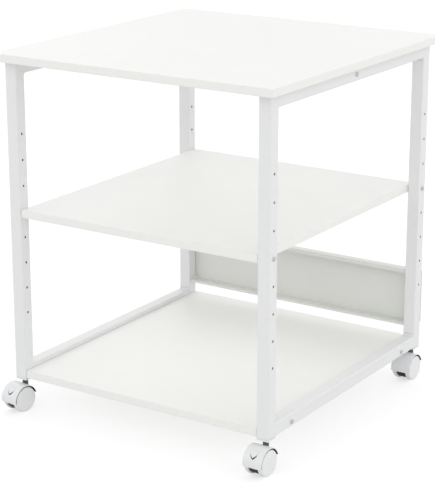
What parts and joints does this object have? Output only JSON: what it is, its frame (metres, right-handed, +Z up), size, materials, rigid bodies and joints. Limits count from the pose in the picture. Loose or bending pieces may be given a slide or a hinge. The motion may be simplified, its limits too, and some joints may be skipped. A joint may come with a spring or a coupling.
{
  "type": "mobile printer stand",
  "caption": "Open mobile printer stand: a top board and shelves between square-tube side frames, a low folded back panel and hooded twin-wheel casters, the front ones with brakes.",
  "frame": {"origin": "on the floor under the middle of the overall box, which the front caster hoods set 6 mm ahead of the boards' middle", "axes": "+X to the stand's right as seen from its open front, +Y towards the back panel, +Z up"},
  "size_m": [0.604, 0.6442, 0.7],
  "materials": {
    "white_board": "white melamine-faced board with matching edge band",
    "white_paint": "fine-textured white powder coat",
    "grey_paint": "light grey powder coat",
    "white_plastic": "moulded, satin",
    "wheel_plastic": "moulded, satin",
    "black_plastic": "moulded, satin",
    "steel": "bright zinc"
  },
  "bodies": {
    "frame": {"top_board": "white_board", "middle_shelf": "white_board", "bottom_shelf": "white_board", "back_panel": "grey_paint", "cross_brace": "white_paint", "top_rail_left": "white_paint", "top_rail_right": "white_paint", "bottom_rail_left": "white_paint", "bottom_rail_right": "white_paint", "post_front_left": "white_paint", "post_front_right": "white_paint", "post_rear_left": "white_paint", "post_rear_right": "white_paint", "caster_socket_front_left": "white_plastic", "caster_socket_front_right": "white_plastic", "caster_socket_rear_left": "white_plastic", "caster_socket_rear_right": "white_plastic", "middle_shelf_screw_front_left": "steel", "middle_shelf_screw_front_right": "steel", "middle_shelf_screw_rear_left": "steel", "middle_shelf_screw_rear_right": "steel", "bottom_shelf_screw_front_left": "steel", "bottom_shelf_screw_front_right": "steel", "bottom_shelf_screw_rear_left": "steel", "bottom_shelf_screw_rear_right": "steel", "cross_brace_screw_left": "steel", "cross_brace_screw_right": "steel", "top_board_screw_left": "steel", "top_board_screw_right": "steel", "panel_screw_left_upper": "steel", "panel_screw_left_lower": "steel", "panel_screw_right_upper": "steel", "panel_screw_right_lower": "steel"},
    "swivel_front_left": {"caster_stem_front_left": "steel", "caster_core_front_left": "black_plastic", "caster_hood_front_left": "white_plastic", "axle_front_left": "steel"},
    "wheel_front_left_left": {"wheel_front_left_left": "wheel_plastic"},
    "wheel_front_left_right": {"wheel_front_left_right": "wheel_plastic"},
    "brake_front_left": {"brake_lever_front_left": "white_plastic"},
    "swivel_front_right": {"caster_stem_front_right": "steel", "caster_core_front_right": "black_plastic", "caster_hood_front_right": "white_plastic", "axle_front_right": "steel"},
    "wheel_front_right_left": {"wheel_front_right_left": "wheel_plastic"},
    "wheel_front_right_right": {"wheel_front_right_right": "wheel_plastic"},
    "brake_front_right": {"brake_lever_front_right": "white_plastic"},
    "swivel_rear_left": {"caster_stem_rear_left": "steel", "caster_core_rear_left": "black_plastic", "caster_hood_rear_left": "white_plastic", "axle_rear_left": "steel"},
    "wheel_rear_left_left": {"wheel_rear_left_left": "wheel_plastic"},
    "wheel_rear_left_right": {"wheel_rear_left_right": "wheel_plastic"},
    "swivel_rear_right": {"caster_stem_rear_right": "steel", "caster_core_rear_right": "black_plastic", "caster_hood_rear_right": "white_plastic", "axle_rear_right": "steel"},
    "wheel_rear_right_left": {"wheel_rear_right_left": "wheel_plastic"},
    "wheel_rear_right_right": {"wheel_rear_right_right": "wheel_plastic"}
  },
  "joints": [
    {"name": "swivel_front_left", "type": "hinge", "parent": "frame", "child": "swivel_front_left", "pos_m": [-0.2745, -0.27555, 0.061], "axis": [0, 0, 1], "continuous": true},
    {"name": "roll_front_left_left", "type": "hinge", "parent": "swivel_front_left", "child": "wheel_front_left_left", "pos_m": [-0.29212, -0.29024, 0.0255], "axis": [0.9903, -0.1392, 0], "continuous": true},
    {"name": "roll_front_left_right", "type": "hinge", "parent": "swivel_front_left", "child": "wheel_front_left_right", "pos_m": [-0.26162, -0.29453, 0.0255], "axis": [0.9903, -0.1392, 0], "continuous": true},
    {"name": "brake_front_left", "type": "hinge", "parent": "swivel_front_left", "child": "brake_front_left", "pos_m": [-0.27862, -0.30484, 0.04415], "axis": [0.9903, -0.1392, 0], "range_deg": [0, 12]},
    {"name": "swivel_front_right", "type": "hinge", "parent": "frame", "child": "swivel_front_right", "pos_m": [0.2745, -0.27555, 0.061], "axis": [0, 0, 1], "continuous": true},
    {"name": "roll_front_right_left", "type": "hinge", "parent": "swivel_front_right", "child": "wheel_front_right_left", "pos_m": [0.25852, -0.292, 0.0255], "axis": [0.9994, -0.0349, 0], "continuous": true},
    {"name": "roll_front_right_right", "type": "hinge", "parent": "swivel_front_right", "child": "wheel_front_right_right", "pos_m": [0.2893, -0.29308, 0.0255], "axis": [0.9994, -0.0349, 0], "continuous": true},
    {"name": "brake_front_right", "type": "hinge", "parent": "swivel_front_right", "child": "brake_front_right", "pos_m": [0.27347, -0.30511, 0.04415], "axis": [0.9994, -0.0349, 0], "range_deg": [0, 12]},
    {"name": "swivel_rear_left", "type": "hinge", "parent": "frame", "child": "swivel_rear_left", "pos_m": [-0.2745, 0.28745, 0.061], "axis": [0, 0, 1], "continuous": true},
    {"name": "roll_rear_left_left", "type": "hinge", "parent": "swivel_rear_left", "child": "wheel_rear_left_left", "pos_m": [-0.28899, 0.26967, 0.0255], "axis": [0.9986, 0.0523, 0], "continuous": true},
    {"name": "roll_rear_left_right", "type": "hinge", "parent": "swivel_rear_left", "child": "wheel_rear_left_right", "pos_m": [-0.25823, 0.27128, 0.0255], "axis": [0.9986, 0.0523, 0], "continuous": true},
    {"name": "swivel_rear_right", "type": "hinge", "parent": "frame", "child": "swivel_rear_right", "pos_m": [0.2745, 0.28745, 0.061], "axis": [0, 0, 1], "continuous": true},
    {"name": "roll_rear_right_left", "type": "hinge", "parent": "swivel_rear_right", "child": "wheel_rear_right_left", "pos_m": [0.25881, 0.27072, 0.0255], "axis": [0.9998, -0.0175, 0], "continuous": true},
    {"name": "roll_rear_right_right", "type": "hinge", "parent": "swivel_rear_right", "child": "wheel_rear_right_right", "pos_m": [0.2896, 0.27018, 0.0255], "axis": [0.9998, -0.0175, 0], "continuous": true}
  ]
}
